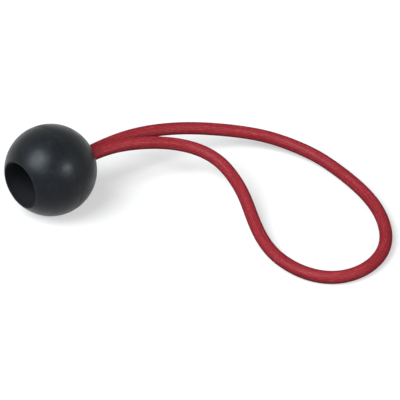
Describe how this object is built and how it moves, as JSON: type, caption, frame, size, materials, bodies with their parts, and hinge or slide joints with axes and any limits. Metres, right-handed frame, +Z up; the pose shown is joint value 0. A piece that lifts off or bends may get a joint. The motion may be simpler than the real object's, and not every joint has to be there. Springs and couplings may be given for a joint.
{
  "type": "ball bungee",
  "caption": "Bungee tie: a hollow moulded ball with a loop of braided elastic cord, whose clipped ends seat inside the ball; the loop stretches to hold tarps and canopies.",
  "frame": {"origin": "on the table under the ball, at the bottom centre of the ball's box", "axes": "+X along the ball's bore from the mouth to the cord hole, +Z up from the table, +Y to the left of +X"},
  "size_m": [0.0933, 0.1069, 0.029],
  "materials": {
    "ball_plastic": "black polypropylene, satin as moulded",
    "cord_sheath": "crimson braided polyester jacket",
    "rubber_core": "natural latex thread",
    "clip_steel": "zinc plated strip"
  },
  "bodies": {
    "ball": {"ball": "ball_plastic"},
    "cord_end": {"crimp_clip": "clip_steel", "sheath_rear_leg": "cord_sheath", "rubber_strand_rear_leg_1": "rubber_core", "rubber_strand_rear_leg_2": "rubber_core", "rubber_strand_rear_leg_3": "rubber_core", "rubber_strand_rear_leg_4": "rubber_core", "rubber_strand_rear_leg_5": "rubber_core", "rubber_strand_rear_leg_6": "rubber_core", "rubber_strand_rear_leg_7": "rubber_core", "sheath_front_leg": "cord_sheath", "rubber_strand_front_leg_1": "rubber_core", "rubber_strand_front_leg_2": "rubber_core", "rubber_strand_front_leg_3": "rubber_core", "rubber_strand_front_leg_4": "rubber_core", "rubber_strand_front_leg_5": "rubber_core", "rubber_strand_front_leg_6": "rubber_core", "rubber_strand_front_leg_7": "rubber_core"},
    "bight": {"sheath_bight": "cord_sheath", "rubber_strand_bight_1": "rubber_core", "rubber_strand_bight_2": "rubber_core", "rubber_strand_bight_3": "rubber_core", "rubber_strand_bight_4": "rubber_core", "rubber_strand_bight_5": "rubber_core", "rubber_strand_bight_6": "rubber_core", "rubber_strand_bight_7": "rubber_core"}
  },
  "joints": [
    {"name": "cord_slide", "type": "slide", "parent": "ball", "child": "cord_end", "axis": [-1, 0, 0], "range_m": [0, 0.008]},
    {"name": "loop_stretch", "type": "slide", "parent": "cord_end", "child": "bight", "axis": [0.1736, -0.9848, 0], "range_m": [0, 0.06], "stiffness_N_per_m": 700, "deforming": ["sheath_rear_leg", "rubber_strand_rear_leg_1", "rubber_strand_rear_leg_2", "rubber_strand_rear_leg_3", "rubber_strand_rear_leg_4", "rubber_strand_rear_leg_5", "rubber_strand_rear_leg_6", "rubber_strand_rear_leg_7", "sheath_front_leg", "rubber_strand_front_leg_1", "rubber_strand_front_leg_2", "rubber_strand_front_leg_3", "rubber_strand_front_leg_4", "rubber_strand_front_leg_5", "rubber_strand_front_leg_6", "rubber_strand_front_leg_7"]}
  ]
}
